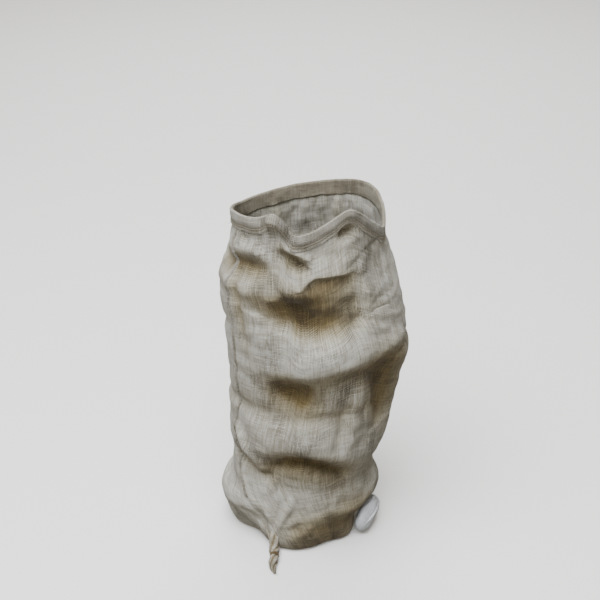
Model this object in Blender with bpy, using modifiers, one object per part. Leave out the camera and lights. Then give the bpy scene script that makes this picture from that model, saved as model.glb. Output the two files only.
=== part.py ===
"""Sack race bag: an open burlap sack of two sewn panels, standing as it does when it is worn.

Metres, +Z up. The origin is the middle of the base on the floor, and the sack's front faces -Y.
"""

import math

import bmesh
import bpy
from mathutils import Vector

# Cloth and thread
CLOTH = 0.0015
GAP = 0.0003
THREAD_RADIUS = 0.0007

# Turned mouth hem
HEM_DEPTH = 0.025
HEM_GAP = 0.0007
HEM_ROUND = 0.0006
HEM_STITCH_DEPTHS = {"upper": 0.0155, "lower": 0.0205}

# Side seams: the turned edges of both panels, standing proud as one ridge
SEAM_HALF_WIDTH = 0.0022
SEAM_HALF_CROWN = 0.0010
SEAM_PROUD = 0.0045
SEAM_SHOULDER = 0.0038
SEAM_CLEARANCE = 0.0006
SEAM_THREAD_OFFSET = 0.0042

# Where the side seams run: the angle at the mouth, and how far each wanders by the time it meets the base
SEAM_START = 24.0
RIGHT_SEAM_WANDER = -35.0
LEFT_SEAM_WANDER = 46.0
WANDER_FROM = 0.17

# Mouth rim, seen from its own centre: (angle, radius, height)
MOUTH_CENTRE = (0.012, 0.010)
RIM = (
    (8, 0.135, 0.636),
    (33, 0.130, 0.652),
    (90, 0.126, 0.630),
    (145, 0.136, 0.616),
    (184, 0.131, 0.638),
    (217, 0.134, 0.653),
    (231, 0.137, 0.660),
    (244, 0.137, 0.670),
    (251, 0.136, 0.668),
    (256, 0.131, 0.643),
    (265, 0.127, 0.636),
    (288, 0.126, 0.659),
    (303, 0.131, 0.676),
    (325, 0.134, 0.640),
    (351, 0.135, 0.609),
)
MOUTH_BLEND = 0.13

# Body of the sack: (height, half width, half depth, centre x, centre y)
BODY = (
    (0.000, 0.138, 0.124, 0.000, 0.000),
    (0.034, 0.144, 0.128, -0.002, 0.000),
    (0.067, 0.149, 0.130, 0.002, 0.000),
    (0.134, 0.130, 0.122, 0.007, 0.002),
    (0.200, 0.145, 0.128, 0.017, 0.002),
    (0.290, 0.155, 0.132, 0.027, 0.001),
    (0.360, 0.161, 0.134, 0.031, 0.000),
    (0.430, 0.163, 0.136, 0.026, 0.000),
    (0.520, 0.159, 0.134, 0.016, 0.003),
    (0.600, 0.138, 0.126, 0.013, 0.008),
    (0.700, 0.134, 0.122, 0.012, 0.010),
)

# Outline that rests on the floor: (angle, radius)
BASE = (
    (20, 0.116),
    (60, 0.124),
    (90, 0.120),
    (130, 0.124),
    (165, 0.124),
    (200, 0.122),
    (226, 0.104),
    (248, 0.124),
    (263, 0.130),
    (277, 0.126),
    (295, 0.117),
    (314, 0.124),
    (332, 0.112),
    (348, 0.102),
)
BASE_BLEND = 0.090
BASE_BEND = 0.036
BASE_TUCK = 0.016

# Hollow under the belly that the stuffed right corner sits in
POCKET_ANGLE = 343.0
POCKET_HALF_ANGLE = 22.0
POCKET_HEIGHT = 0.034
POCKET_HALF_HEIGHT = 0.023
POCKET_DEPTH = 0.016

# Slack cloth hangs in four rolls. Each roll's lip: (angle, height, how far it stands out)
ROLLS = {
    "chest": (
        (30, 0.560, 0.004),
        (90, 0.550, 0.009),
        (150, 0.535, 0.005),
        (220, 0.526, 0.010),
        (270, 0.553, 0.020),
        (292, 0.570, 0.018),
        (306, 0.586, 0.009),
        (325, 0.600, 0.001),
    ),
    "hip": (
        (10, 0.368, 0.005),
        (60, 0.395, 0.009),
        (120, 0.370, 0.010),
        (180, 0.352, 0.003),
        (222, 0.354, 0.003),
        (244, 0.384, 0.012),
        (263, 0.398, 0.019),
        (293, 0.415, 0.021),
        (321, 0.408, 0.016),
    ),
    "knee": (
        (0, 0.190, 0.003),
        (80, 0.225, 0.009),
        (140, 0.210, 0.008),
        (200, 0.197, 0.003),
        (236, 0.224, 0.012),
        (255, 0.236, 0.018),
        (281, 0.222, 0.018),
        (299, 0.194, 0.013),
        (314, 0.172, 0.006),
    ),
    "foot": (
        (0, 0.072, 0.002),
        (90, 0.080, 0.006),
        (160, 0.072, 0.001),
        (215, 0.076, 0.002),
        (270, 0.082, 0.002),
        (320, 0.090, 0.001),
    ),
}
ROLL_ABOVE = 0.052
ROLL_BELOW = 0.026

# Bottom seam, inside the sack
BOTTOM_SEAM_INSET = 0.012
BOTTOM_SEAM_WIDTH = 0.004
BOTTOM_SEAM_RISE = 0.010
BOTTOM_SEAM_MARGIN = 0.016
BOTTOM_SEAM_EDGE = 0.001
BOTTOM_THREAD_RISE = 0.006
BOTTOM_THREAD_INSET = 0.004

# Left corner ear: (distance along it, half width, half height), and the thread bound round its waist
EAR_LENGTH = 0.068
EAR_ANGLE = 270.5
EAR_START = 0.0185
EAR_ROOT_HEIGHT = 0.026
EAR_LANDING = 0.32
EAR_AXIS_HEIGHT = 0.0092
EAR_SECTIONS = (
    (0.00, 0.0080, 0.0072),
    (0.12, 0.0098, 0.0088),
    (0.24, 0.0092, 0.0084),
    (0.32, 0.0070, 0.0064),
    (0.44, 0.0070, 0.0064),
    (0.52, 0.0092, 0.0082),
    (0.70, 0.0076, 0.0066),
    (0.90, 0.0050, 0.0046),
    (1.00, 0.0026, 0.0026),
)
EAR_FLOOR = 0.0004
BINDING_TURNS = 3
BINDING_PITCH = 0.0021

# Right corner ear: the stuffed corner tucked under the belly
RIGHT_EAR_ANGLE = 340.0
RIGHT_EAR_RADIUS = 0.1400
RIGHT_EAR_HALF = (0.0165, 0.0430, 0.0235)

# Mesh density
COLUMNS = 20
WALL_ROWS = 25
BEND_ROWS = 4
BASE_ROWS = 4
EAR_SIDES = 14
BINDING_STEPS = 14
SLIT_HALF_ANGLE = 0.22

BURLAP = (0.47, 0.44, 0.38)
BURLAP_DOUBLE = (0.50, 0.47, 0.41)
THREAD = (0.55, 0.52, 0.46)


def eased(x):
    """0 below 0, 1 above 1, and a smooth step between."""
    x = min(max(x, 0.0), 1.0)
    return x * x * (3.0 - 2.0 * x)


def through(rows, at, turn=None):
    """The rows' values at this place, on a smooth curve through them. turn makes the rows go round."""
    count = len(rows)
    if turn:
        at = (at - rows[0][0]) % turn + rows[0][0]
        inside = [i for i in range(count) if rows[i][0] <= at][-1]
        around = [(inside + step) % count for step in (-1, 0, 1, 2)]
        places = [rows[i][0] + turn * ((inside + step) // count) for i, step in zip(around, (-1, 0, 1, 2))]
    else:
        at = min(max(at, rows[0][0]), rows[-1][0])
        inside = min([i for i in range(count) if rows[i][0] <= at][-1], count - 2)
        around = [min(max(inside + step, 0), count - 1) for step in (-1, 0, 1, 2)]
        places = [rows[i][0] for i in around]
    span = places[2] - places[1]
    f = (at - places[1]) / span
    values = []
    for column in range(1, len(rows[0])):
        a, b, c, d = (rows[i][column] for i in around)
        rise_b = (c - a) / max(places[2] - places[0], 1e-9) * span
        rise_c = (d - b) / max(places[3] - places[1], 1e-9) * span
        values.append(
            b * (2 * f**3 - 3 * f**2 + 1)
            + rise_b * (f**3 - 2 * f**2 + f)
            + c * (3 * f**2 - 2 * f**3)
            + rise_c * (f**3 - f**2)
        )
    return values


def rim_height(angle):
    return through(RIM, angle, 360)[1]


def roll_out(angle, height):
    """How far the slack rolls push the cloth out here: gently above each lip, sharply back below it."""
    out = 0.0
    for rows in ROLLS.values():
        lip, proud = through(rows, angle, 360)
        above = height - lip
        reach = ROLL_ABOVE if above > 0 else ROLL_BELOW
        out += proud * math.exp(-((above / reach) ** 2))
    return out


def wall_point(angle, height):
    """A point of the sack's outer surface, at this angle round the sack and this height over the floor."""
    half_width, half_depth, centre_x, centre_y = through(BODY, height)
    turn = math.radians(angle)
    radius = half_width * half_depth / math.hypot(half_depth * math.cos(turn), half_width * math.sin(turn))
    radius += roll_out(angle, height)
    top = rim_height(angle)
    to_mouth = eased((height - top + MOUTH_BLEND) / MOUTH_BLEND)
    radius += (through(RIM, angle, 360)[0] - radius) * to_mouth
    centre_x += (MOUTH_CENTRE[0] - centre_x) * to_mouth
    centre_y += (MOUTH_CENTRE[1] - centre_y) * to_mouth
    to_base = eased(1 - height / BASE_BLEND)
    radius += (through(BASE, angle, 360)[0] + BASE_TUCK - radius) * to_base
    aside = (angle - POCKET_ANGLE + 180) % 360 - 180
    up = height - POCKET_HEIGHT
    radius -= POCKET_DEPTH * math.exp(-((aside / POCKET_HALF_ANGLE) ** 2) - (up / POCKET_HALF_HEIGHT) ** 2)
    bend = min(height / BASE_BEND, 1.0)
    radius -= BASE_TUCK * (1 - math.sqrt(1 - (1 - bend) ** 2))
    return Vector((centre_x + radius * math.cos(turn), centre_y + radius * math.sin(turn), height))


def sewn_angle(cloth_angle, height):
    """Where a warp thread lies at this height. Cloth angle 0 is the right side seam, 180 the left."""
    share = (1 - math.cos(math.radians(cloth_angle))) / 2
    wander = RIGHT_SEAM_WANDER + (LEFT_SEAM_WANDER - RIGHT_SEAM_WANDER) * share
    return cloth_angle + SEAM_START + wander * eased(1 - height / WANDER_FROM)


def cloth_point(cloth_angle, drop):
    """A point of the wall from its warp thread and its share of the way down from the rim."""
    angle = sewn_angle(cloth_angle, (1 - drop) * RIM[0][2])
    for _ in range(3):
        angle = sewn_angle(cloth_angle, (1 - drop) * rim_height(angle))
    return wall_point(angle, (1 - drop) * rim_height(angle))


def cloth_normal(cloth_angle, drop):
    step = 0.002
    across = cloth_point(cloth_angle + 1, drop) - cloth_point(cloth_angle - 1, drop)
    down = cloth_point(cloth_angle, min(drop + step, 1)) - cloth_point(cloth_angle, max(drop - step, 0))
    return down.cross(across).normalized()


def base_corner(cloth_angle):
    """The end of the bottom seam under this side seam, set in from the base's outline."""
    edge = cloth_point(cloth_angle, 1)
    return edge * (1 - BOTTOM_SEAM_INSET / edge.length)


def wall_drops():
    """The rows of the wall: the hem's own rows first, then even steps, then the bend into the base."""
    mean_rim = sum(row[2] for row in RIM) / len(RIM)
    hem = [0.0, HEM_DEPTH / 2 / mean_rim, HEM_DEPTH / mean_rim]
    bend_start = 1 - BASE_BEND / mean_rim
    wall = [hem[-1] + (bend_start - hem[-1]) * i / WALL_ROWS for i in range(1, WALL_ROWS + 1)]
    bend = [
        1 - BASE_BEND / mean_rim * (1 - math.sin(math.pi / 2 * i / BEND_ROWS))
        for i in range(1, BEND_ROWS + 1)
    ]
    return hem + wall + bend


def panel_angles(first, last):
    inset = SLIT_HALF_ANGLE
    return [first + inset + (last - first - 2 * inset) * i / COLUMNS for i in range(COLUMNS + 1)]


def material_for(name, colour, roughness):
    material = bpy.data.materials.new(name)
    material.use_nodes = True
    shader = material.node_tree.nodes["Principled BSDF"]
    shader.inputs["Base Color"].default_value = (*colour, 1)
    shader.inputs["Roughness"].default_value = roughness
    shader.inputs["Metallic"].default_value = 0
    return material


def add_object(name, data, colour, roughness=0.9):
    made = bpy.data.objects.new(name, data)
    data.materials.append(material_for(name, colour, roughness))
    parts.objects.link(made)
    return made


def grid_mesh(name, rows):
    """An open sheet through rows of points."""
    mesh = bpy.data.meshes.new(name)
    width = len(rows[0])
    corners = [(r * width + c, r * width + c + 1) for r in range(len(rows) - 1) for c in range(width - 1)]
    faces = [(a, a + width, b + width, b) for a, b in corners]
    mesh.from_pydata([point for row in rows for point in row], [], faces)
    mesh.shade_smooth()
    return mesh


def loft_mesh(name, rings):
    """A closed solid through rings of points, with a cap on each end."""
    mesh = bpy.data.meshes.new(name)
    shape = bmesh.new()
    made = [[shape.verts.new(point) for point in ring] for ring in rings]
    sides = len(made[0])
    for first, second in zip(made, made[1:]):
        for i in range(sides):
            j = (i + 1) % sides
            shape.faces.new((first[i], first[j], second[j], second[i]))
    shape.faces.new(made[0])
    shape.faces.new(made[-1])
    bmesh.ops.recalc_face_normals(shape, faces=shape.faces)
    shape.to_mesh(mesh)
    shape.free()
    mesh.shade_smooth()
    return mesh


def add_thread(name, points):
    curve = bpy.data.curves.new(name, "CURVE")
    curve.dimensions = "3D"
    curve.bevel_depth = THREAD_RADIUS
    curve.bevel_resolution = 2
    curve.use_fill_caps = True
    spline = curve.splines.new("POLY")
    spline.points.add(len(points) - 1)
    for place, point in zip(spline.points, points):
        place.co = (*point, 1)
    return add_object(name, curve, THREAD, 0.8)


def add_panel(name, first, last):
    """One half of the sack, from the rim down the wall, round the bend and under to the bottom seam."""
    angles = panel_angles(first, last)
    rows = [[cloth_point(angle, drop) for angle in angles] for drop in wall_drops()]
    left, right = base_corner(180), base_corner(0)
    aside = Vector((right.y - left.y, left.x - right.x, 0)).normalized() * GAP
    towards = aside if first >= 180 else -aside
    for row in range(1, BASE_ROWS + 1):
        under = row / BASE_ROWS
        points = []
        for angle, edge in zip(angles, rows[len(wall_drops()) - 1]):
            share = abs(angle - 180) / 180
            seam = left.lerp(right, share) + towards
            points.append(edge.lerp(seam, under))
        rows.append(points)
    panel = add_object(name, grid_mesh(name, rows), BURLAP)
    thick = panel.modifiers.new("cloth thickness", "SOLIDIFY")
    thick.thickness = CLOTH
    thick.offset = -1
    return panel


def add_hem(name, first, last):
    """The turned edge: a band folded over the panel's rim, with a leaf on each side of it."""
    drops = wall_drops()[:3]
    fold = HEM_GAP + CLOTH
    rings = []
    for angle in panel_angles(first, last):
        points = [cloth_point(angle, drop) for drop in drops]
        normals = [cloth_normal(angle, drop) for drop in drops]
        up = (points[0] - points[1]).normalized()
        outside, over, inside = fold, fold, -CLOTH - fold
        rim, rim_out = points[0], normals[0]
        ring = [points[i] + normals[i] * outside for i in (2, 1, 0)]
        ring.append(rim + rim_out * (outside - HEM_ROUND) + up * over)
        ring.append(rim + rim_out * (inside + HEM_ROUND) + up * over)
        ring += [points[i] + normals[i] * inside for i in (0, 1, 2)]
        ring += [points[i] + normals[i] * (-CLOTH - HEM_GAP) for i in (2, 1)]
        ring.append(rim + rim_out * (-CLOTH - HEM_GAP) + up * HEM_GAP)
        ring.append(rim + rim_out * HEM_GAP + up * HEM_GAP)
        ring += [points[i] + normals[i] * HEM_GAP for i in (1, 2)]
        rings.append(ring)
    return add_object(name, loft_mesh(name, rings), BURLAP_DOUBLE)


def add_hem_thread(name, first, last, depth):
    drop = depth / HEM_DEPTH * wall_drops()[2]
    above, below = wall_drops()[1:3]
    share = (drop - above) / (below - above)
    lift = HEM_GAP + CLOTH + GAP + THREAD_RADIUS
    points = []
    for angle in panel_angles(first, last)[1:-1]:
        row = [cloth_point(angle, d) + cloth_normal(angle, d) * lift for d in (above, below)]
        points.append(row[0].lerp(row[1], share))
    return add_thread(name, points)


def side_frames(cloth_angle):
    """Point, outward normal and direction across the seam, down one side seam, below the hem."""
    frames = []
    for drop in wall_drops()[3 : -BEND_ROWS - 1]:
        normal = cloth_normal(cloth_angle, drop)
        across = cloth_point(cloth_angle + 1, drop) - cloth_point(cloth_angle - 1, drop)
        across = (across - normal * across.dot(normal)).normalized()
        frames.append((cloth_point(cloth_angle, drop), normal, across))
    return frames


def add_side_seam(name, cloth_angle):
    rings = []
    for point, normal, across in side_frames(cloth_angle):
        low, high = normal * SEAM_CLEARANCE, normal * SEAM_PROUD
        shoulder = normal * SEAM_SHOULDER
        wide, narrow = across * SEAM_HALF_WIDTH, across * SEAM_HALF_CROWN
        offsets = (low - wide, shoulder - wide, high - narrow, high + narrow, shoulder + wide, low + wide)
        rings.append([point + offset for offset in offsets])
    return add_object(name, loft_mesh(name, rings), BURLAP_DOUBLE)


def add_side_thread(name, cloth_angle, towards_front):
    lift = SEAM_CLEARANCE + THREAD_RADIUS
    points = []
    for point, normal, across in side_frames(cloth_angle)[1:-1]:
        points.append(point + across * (towards_front * SEAM_THREAD_OFFSET) + normal * lift)
    return add_thread(name, points)


def bottom_seam_line():
    left, right = base_corner(180), base_corner(0)
    along = (right - left).normalized()
    return left + along * BOTTOM_SEAM_MARGIN, right - along * BOTTOM_SEAM_MARGIN


def add_bottom_seam(name):
    """The turned edges of both panels, standing up along the seam inside the base."""
    start, end = bottom_seam_line()
    floor = CLOTH + GAP
    mesh = bpy.data.meshes.new(name)
    shape = bmesh.new()
    bmesh.ops.create_cube(shape, size=1)
    size = Vector(((end - start).length, BOTTOM_SEAM_WIDTH, BOTTOM_SEAM_RISE))
    bmesh.ops.scale(shape, vec=size, verts=shape.verts)
    shape.to_mesh(mesh)
    shape.free()
    seam = add_object(name, mesh, BURLAP_DOUBLE)
    seam.location = (start + end) / 2 + Vector((0, 0, floor + BOTTOM_SEAM_RISE / 2))
    seam.rotation_euler.z = math.atan2(end.y - start.y, end.x - start.x)
    edge = seam.modifiers.new("soft edge", "BEVEL")
    edge.width = BOTTOM_SEAM_EDGE
    edge.segments = 2
    return seam


def add_bottom_thread(name):
    start, end = bottom_seam_line()
    along = (end - start).normalized()
    aside = Vector((-along.y, along.x, 0)) * (BOTTOM_SEAM_WIDTH / 2 + GAP + THREAD_RADIUS)
    height = Vector((0, 0, CLOTH + GAP + BOTTOM_THREAD_RISE))
    inset = along * BOTTOM_THREAD_INSET
    return add_thread(name, [start + inset + aside + height, end - inset + aside + height])


def ear_frame():
    """Start, direction and sideways direction of the left corner ear."""
    corner = cloth_point(180, 1)
    outward = Vector((corner.x, corner.y, 0)).normalized()
    turn = math.radians(EAR_ANGLE)
    along = Vector((math.cos(turn), math.sin(turn), 0))
    start = Vector((corner.x, corner.y, 0)) + outward * EAR_START
    return start, along, Vector((-along.y, along.x, 0))


def ear_centre(share):
    """Centre, half width and half height of the ear at this share of its length. It lies on the floor."""
    start, along, _ = ear_frame()
    half_width, half_height = through(EAR_SECTIONS, share)
    hang = EAR_ROOT_HEIGHT * max(1 - share / EAR_LANDING, 0) ** 2
    lie = max(half_height, EAR_AXIS_HEIGHT * min(1, 2 * (1 - share)))
    height = EAR_FLOOR + max(lie, hang)
    return start + along * (EAR_LENGTH * share) + Vector((0, 0, height)), half_width, half_height


def add_left_ear(name):
    _, _, aside = ear_frame()
    rings = []
    for share, _, _ in EAR_SECTIONS:
        centre, half_width, half_height = ear_centre(share)
        ring = []
        for i in range(EAR_SIDES):
            turn = 2 * math.pi * i / EAR_SIDES
            ring.append(
                centre + aside * (half_width * math.cos(turn)) + Vector((0, 0, half_height * math.sin(turn)))
            )
        rings.append(ring)
    return add_object(name, loft_mesh(name, rings), BURLAP)


def add_binding(name):
    """Thread wound round the waist of the left ear."""
    _, along, aside = ear_frame()
    narrowest = min(row[1] for row in EAR_SECTIONS[1:-2])
    waist = [row for row in EAR_SECTIONS if row[1] == narrowest]
    middle = (waist[0][0] + waist[-1][0]) / 2
    centre, half_width, half_height = ear_centre(middle)
    lift = 2 * GAP + THREAD_RADIUS
    points = []
    for step in range(BINDING_TURNS * BINDING_STEPS + 1):
        turn = 2 * math.pi * step / BINDING_STEPS
        travel = BINDING_PITCH * (step / BINDING_STEPS - BINDING_TURNS / 2)
        wide = aside * ((half_width + lift) * math.cos(turn))
        high = Vector((0, 0, (half_height + lift) * math.sin(turn)))
        points.append(centre + along * travel + wide + high)
    return add_thread(name, points)


def add_right_ear(name):
    mesh = bpy.data.meshes.new(name)
    shape = bmesh.new()
    bmesh.ops.create_uvsphere(shape, u_segments=16, v_segments=10, radius=1)
    bmesh.ops.scale(shape, vec=RIGHT_EAR_HALF, verts=shape.verts)
    shape.to_mesh(mesh)
    shape.free()
    mesh.shade_smooth()
    turn = math.radians(RIGHT_EAR_ANGLE)
    ear = add_object(name, mesh, BURLAP)
    ear.location = (
        RIGHT_EAR_RADIUS * math.cos(turn),
        RIGHT_EAR_RADIUS * math.sin(turn),
        RIGHT_EAR_HALF[2] + EAR_FLOOR,
    )
    ear.rotation_euler.z = turn
    return ear


for old in list(bpy.data.objects):
    bpy.data.objects.remove(old, do_unlink=True)

parts = bpy.data.collections.new("sack_race_bag")
bpy.context.scene.collection.children.link(parts)

add_panel("front_panel", 180, 360)
add_panel("back_panel", 0, 180)
add_side_seam("left_side_seam", 180)
add_side_seam("right_side_seam", 0)
add_side_thread("left_side_seam_thread", 180, 1)
add_side_thread("right_side_seam_thread", 0, -1)
add_bottom_seam("bottom_seam")
add_bottom_thread("bottom_seam_thread")
add_hem("front_mouth_hem", 180, 360)
add_hem("back_mouth_hem", 0, 180)
for row_name, stitch_depth in HEM_STITCH_DEPTHS.items():
    add_hem_thread(f"front_hem_{row_name}_thread", 180, 360, stitch_depth)
    add_hem_thread(f"back_hem_{row_name}_thread", 0, 180, stitch_depth)
add_left_ear("left_corner_ear")
add_binding("left_ear_binding")
add_right_ear("right_corner_ear")
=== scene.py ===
"""Looks of the sack race bag: slack burlap, turned hem, sewn seams and corner ears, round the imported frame.

Metres, +Z up, front towards -Y. The wall's rings repeat part.py's, so every piece lies on its CAD solid.
"""

import math

import bmesh
import bpy
import numpy as np
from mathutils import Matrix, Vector, noise


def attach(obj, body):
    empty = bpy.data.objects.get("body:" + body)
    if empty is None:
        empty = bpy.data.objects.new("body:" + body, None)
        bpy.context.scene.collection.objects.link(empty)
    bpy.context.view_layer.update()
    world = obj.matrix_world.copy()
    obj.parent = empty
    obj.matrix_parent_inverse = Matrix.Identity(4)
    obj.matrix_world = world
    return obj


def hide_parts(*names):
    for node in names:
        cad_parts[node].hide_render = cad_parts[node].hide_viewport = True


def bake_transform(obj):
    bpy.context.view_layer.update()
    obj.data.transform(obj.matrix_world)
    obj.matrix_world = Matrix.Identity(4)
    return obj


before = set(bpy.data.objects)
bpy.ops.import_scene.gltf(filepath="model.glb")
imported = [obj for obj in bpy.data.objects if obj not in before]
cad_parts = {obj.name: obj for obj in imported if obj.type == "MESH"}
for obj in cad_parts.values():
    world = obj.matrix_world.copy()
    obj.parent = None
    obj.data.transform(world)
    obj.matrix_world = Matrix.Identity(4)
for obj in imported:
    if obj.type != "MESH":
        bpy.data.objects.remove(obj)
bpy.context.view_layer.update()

# Camera: a standing adult's view, a little over two metres off
CAMERA_PLACE = (0.0, -1.905, 1.45)
CAMERA_DOWN = 27.45
CAMERA_LENS = 71.4

# Cloth
CLOTH = 0.0015
YARN_PITCH = 0.0025
PERIMETER = 0.92

# Turned hem and its stitches
HEM_DEPTH = 0.025
HEM_GAP = 0.0007
HEM_SWELL = 0.0014
HEM_GROOVE = 0.0009
HEM_STITCH_DEPTHS = {"upper": 0.0150, "lower": 0.0200}
STITCH_LENGTH = 0.0044
STITCH_GAP = 0.0018
STITCH_RADIUS = 0.00055
STITCH_POINTS = 7

# Side seams: where they run, and their ridges
SEAM_START = 24.0
RIGHT_SEAM_WANDER = -35.0
LEFT_SEAM_WANDER = 46.0
WANDER_FROM = 0.17
SEAM_HALF_WIDTH = 0.0028
SEAM_PROUD = 0.0032
SEAM_ROWS = 420
SEAM_OUTLINE = (
    (-1.35, -0.4), (-1.0, 0.25), (-0.85, 0.7), (-0.42, 0.98),
    (0.1, 1.0), (0.6, 0.86), (0.95, 0.45), (1.3, -0.4),
)
SEAM_THREAD_OFFSET = 0.0040
SEAM_STITCH_PITCH = 0.0083

# Bottom seam, inside the base
BOTTOM_SEAM_INSET = 0.012
BOTTOM_SEAM_ENDS = 0.017
BOTTOM_SEAM_HALF_WIDTH = 0.0019
BOTTOM_SEAM_HEIGHT = 0.0094
BOTTOM_STITCH_HEIGHT = 0.0078
BOTTOM_STITCH_PITCH = 0.0068
BOTTOM_SEAM_OUTLINE = (
    (-1.0, 0.0), (-0.9, 0.5), (-0.8, 0.85), (-0.3, 1.0), (0.35, 0.98), (0.85, 0.8), (0.95, 0.45), (1.0, 0.0)
)

# Left corner ear: (share of its length, half width, half height)
EAR_LENGTH = 0.068
EAR_ANGLE = 270.5
EAR_START = 0.0185
EAR_ROOT_HEIGHT = 0.026
EAR_LANDING = 0.32
EAR_AXIS_HEIGHT = 0.0092
EAR_SECTIONS = (
    (-0.26, 0.02, 0.017), (-0.12, 0.012, 0.011), (0.0, 0.0088, 0.008), (0.12, 0.0098, 0.0088),
    (0.24, 0.0092, 0.0084), (0.32, 0.0072, 0.0064), (0.44, 0.007, 0.0064), (0.52, 0.0092, 0.0082),
    (0.7, 0.0076, 0.0066), (0.9, 0.0048, 0.0044), (1.0, 0.0024, 0.0024),
)
EAR_FLOOR = 0.0004
EAR_PLEATS = 4
EAR_TWIST = 0.85

# Thread round the left ear's waist
BINDING_PLACE = 0.38
BINDING_TURNS = 3.4
BINDING_STEPS = 30
BINDING_PITCH = 0.0019
BINDING_LIFT = 0.0009

# Right corner ear
RIGHT_EAR_ANGLE = 338.5
RIGHT_EAR_RADIUS = 0.1400
RIGHT_EAR_HALF = (0.0165, 0.04644, 0.0235)
RIGHT_EAR_SEAM = 0.30

# Mouth rim, seen from its own centre: (angle, radius, height)
MOUTH_CENTRE = (0.012, 0.010)
RIM = (
    (8, 0.135, 0.636), (33, 0.13, 0.652), (90, 0.126, 0.63), (145, 0.136, 0.616), (184, 0.131, 0.638),
    (217, 0.134, 0.653), (231, 0.137, 0.66), (244, 0.137, 0.67), (251, 0.136, 0.668), (256, 0.131, 0.643),
    (265, 0.127, 0.636), (288, 0.126, 0.659), (303, 0.131, 0.676), (325, 0.134, 0.64), (351, 0.135, 0.609),
)
MOUTH_BLEND = 0.13

# Body: (height, half width, half depth, centre x, centre y)
BODY = (
    (0.0, 0.138, 0.124, 0.0, 0.0), (0.034, 0.144, 0.128, -0.002, 0.0), (0.067, 0.149, 0.13, 0.002, 0.0),
    (0.134, 0.13, 0.122, 0.007, 0.002), (0.2, 0.145, 0.128, 0.017, 0.002),
    (0.29, 0.155, 0.132, 0.027, 0.001), (0.36, 0.161, 0.134, 0.031, 0.0), (0.43, 0.163, 0.136, 0.026, 0.0),
    (0.52, 0.159, 0.134, 0.016, 0.003), (0.6, 0.138, 0.126, 0.013, 0.008),
    (0.7, 0.134, 0.122, 0.012, 0.01),
)

# Outline on the floor: (angle, radius)
BASE = (
    (20, 0.116), (60, 0.124), (90, 0.12), (130, 0.124), (165, 0.124), (200, 0.122), (226, 0.104),
    (248, 0.124), (263, 0.13), (277, 0.126), (295, 0.117), (314, 0.124), (332, 0.112), (348, 0.102),
)
BASE_BLEND = 0.090
BASE_BEND = 0.036
BASE_TUCK = 0.016
POCKET = {"angle": 343.0, "half_angle": 22.0, "height": 0.034, "half_height": 0.023, "depth": 0.016}

# Slack rolls. Each roll's lip: (angle, height, how far it stands out)
ROLLS = (
    # Chest
    (
        (30, 0.56, 0.004), (90, 0.55, 0.009), (150, 0.535, 0.005), (220, 0.526, 0.01), (270, 0.553, 0.02),
        (292, 0.57, 0.018), (306, 0.586, 0.009), (325, 0.6, 0.001),
    ),
    # Hip
    (
        (10, 0.368, 0.005), (60, 0.395, 0.009), (120, 0.37, 0.01), (180, 0.352, 0.003),
        (222, 0.354, 0.003), (244, 0.384, 0.012), (263, 0.398, 0.019), (293, 0.415, 0.021),
        (321, 0.408, 0.016),
    ),
    # Knee
    (
        (0, 0.19, 0.003), (80, 0.225, 0.009), (140, 0.21, 0.008), (200, 0.197, 0.003), (236, 0.224, 0.012),
        (255, 0.236, 0.018), (281, 0.222, 0.018), (299, 0.194, 0.013), (314, 0.172, 0.006),
    ),
    # Foot
    (
        (0, 0.072, 0.002), (90, 0.08, 0.006), (160, 0.072, 0.001), (215, 0.076, 0.002),
        (270, 0.082, 0.002), (320, 0.09, 0.001),
    ),
)
ROLL_ABOVE = 0.052
ROLL_BELOW = 0.026

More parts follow.
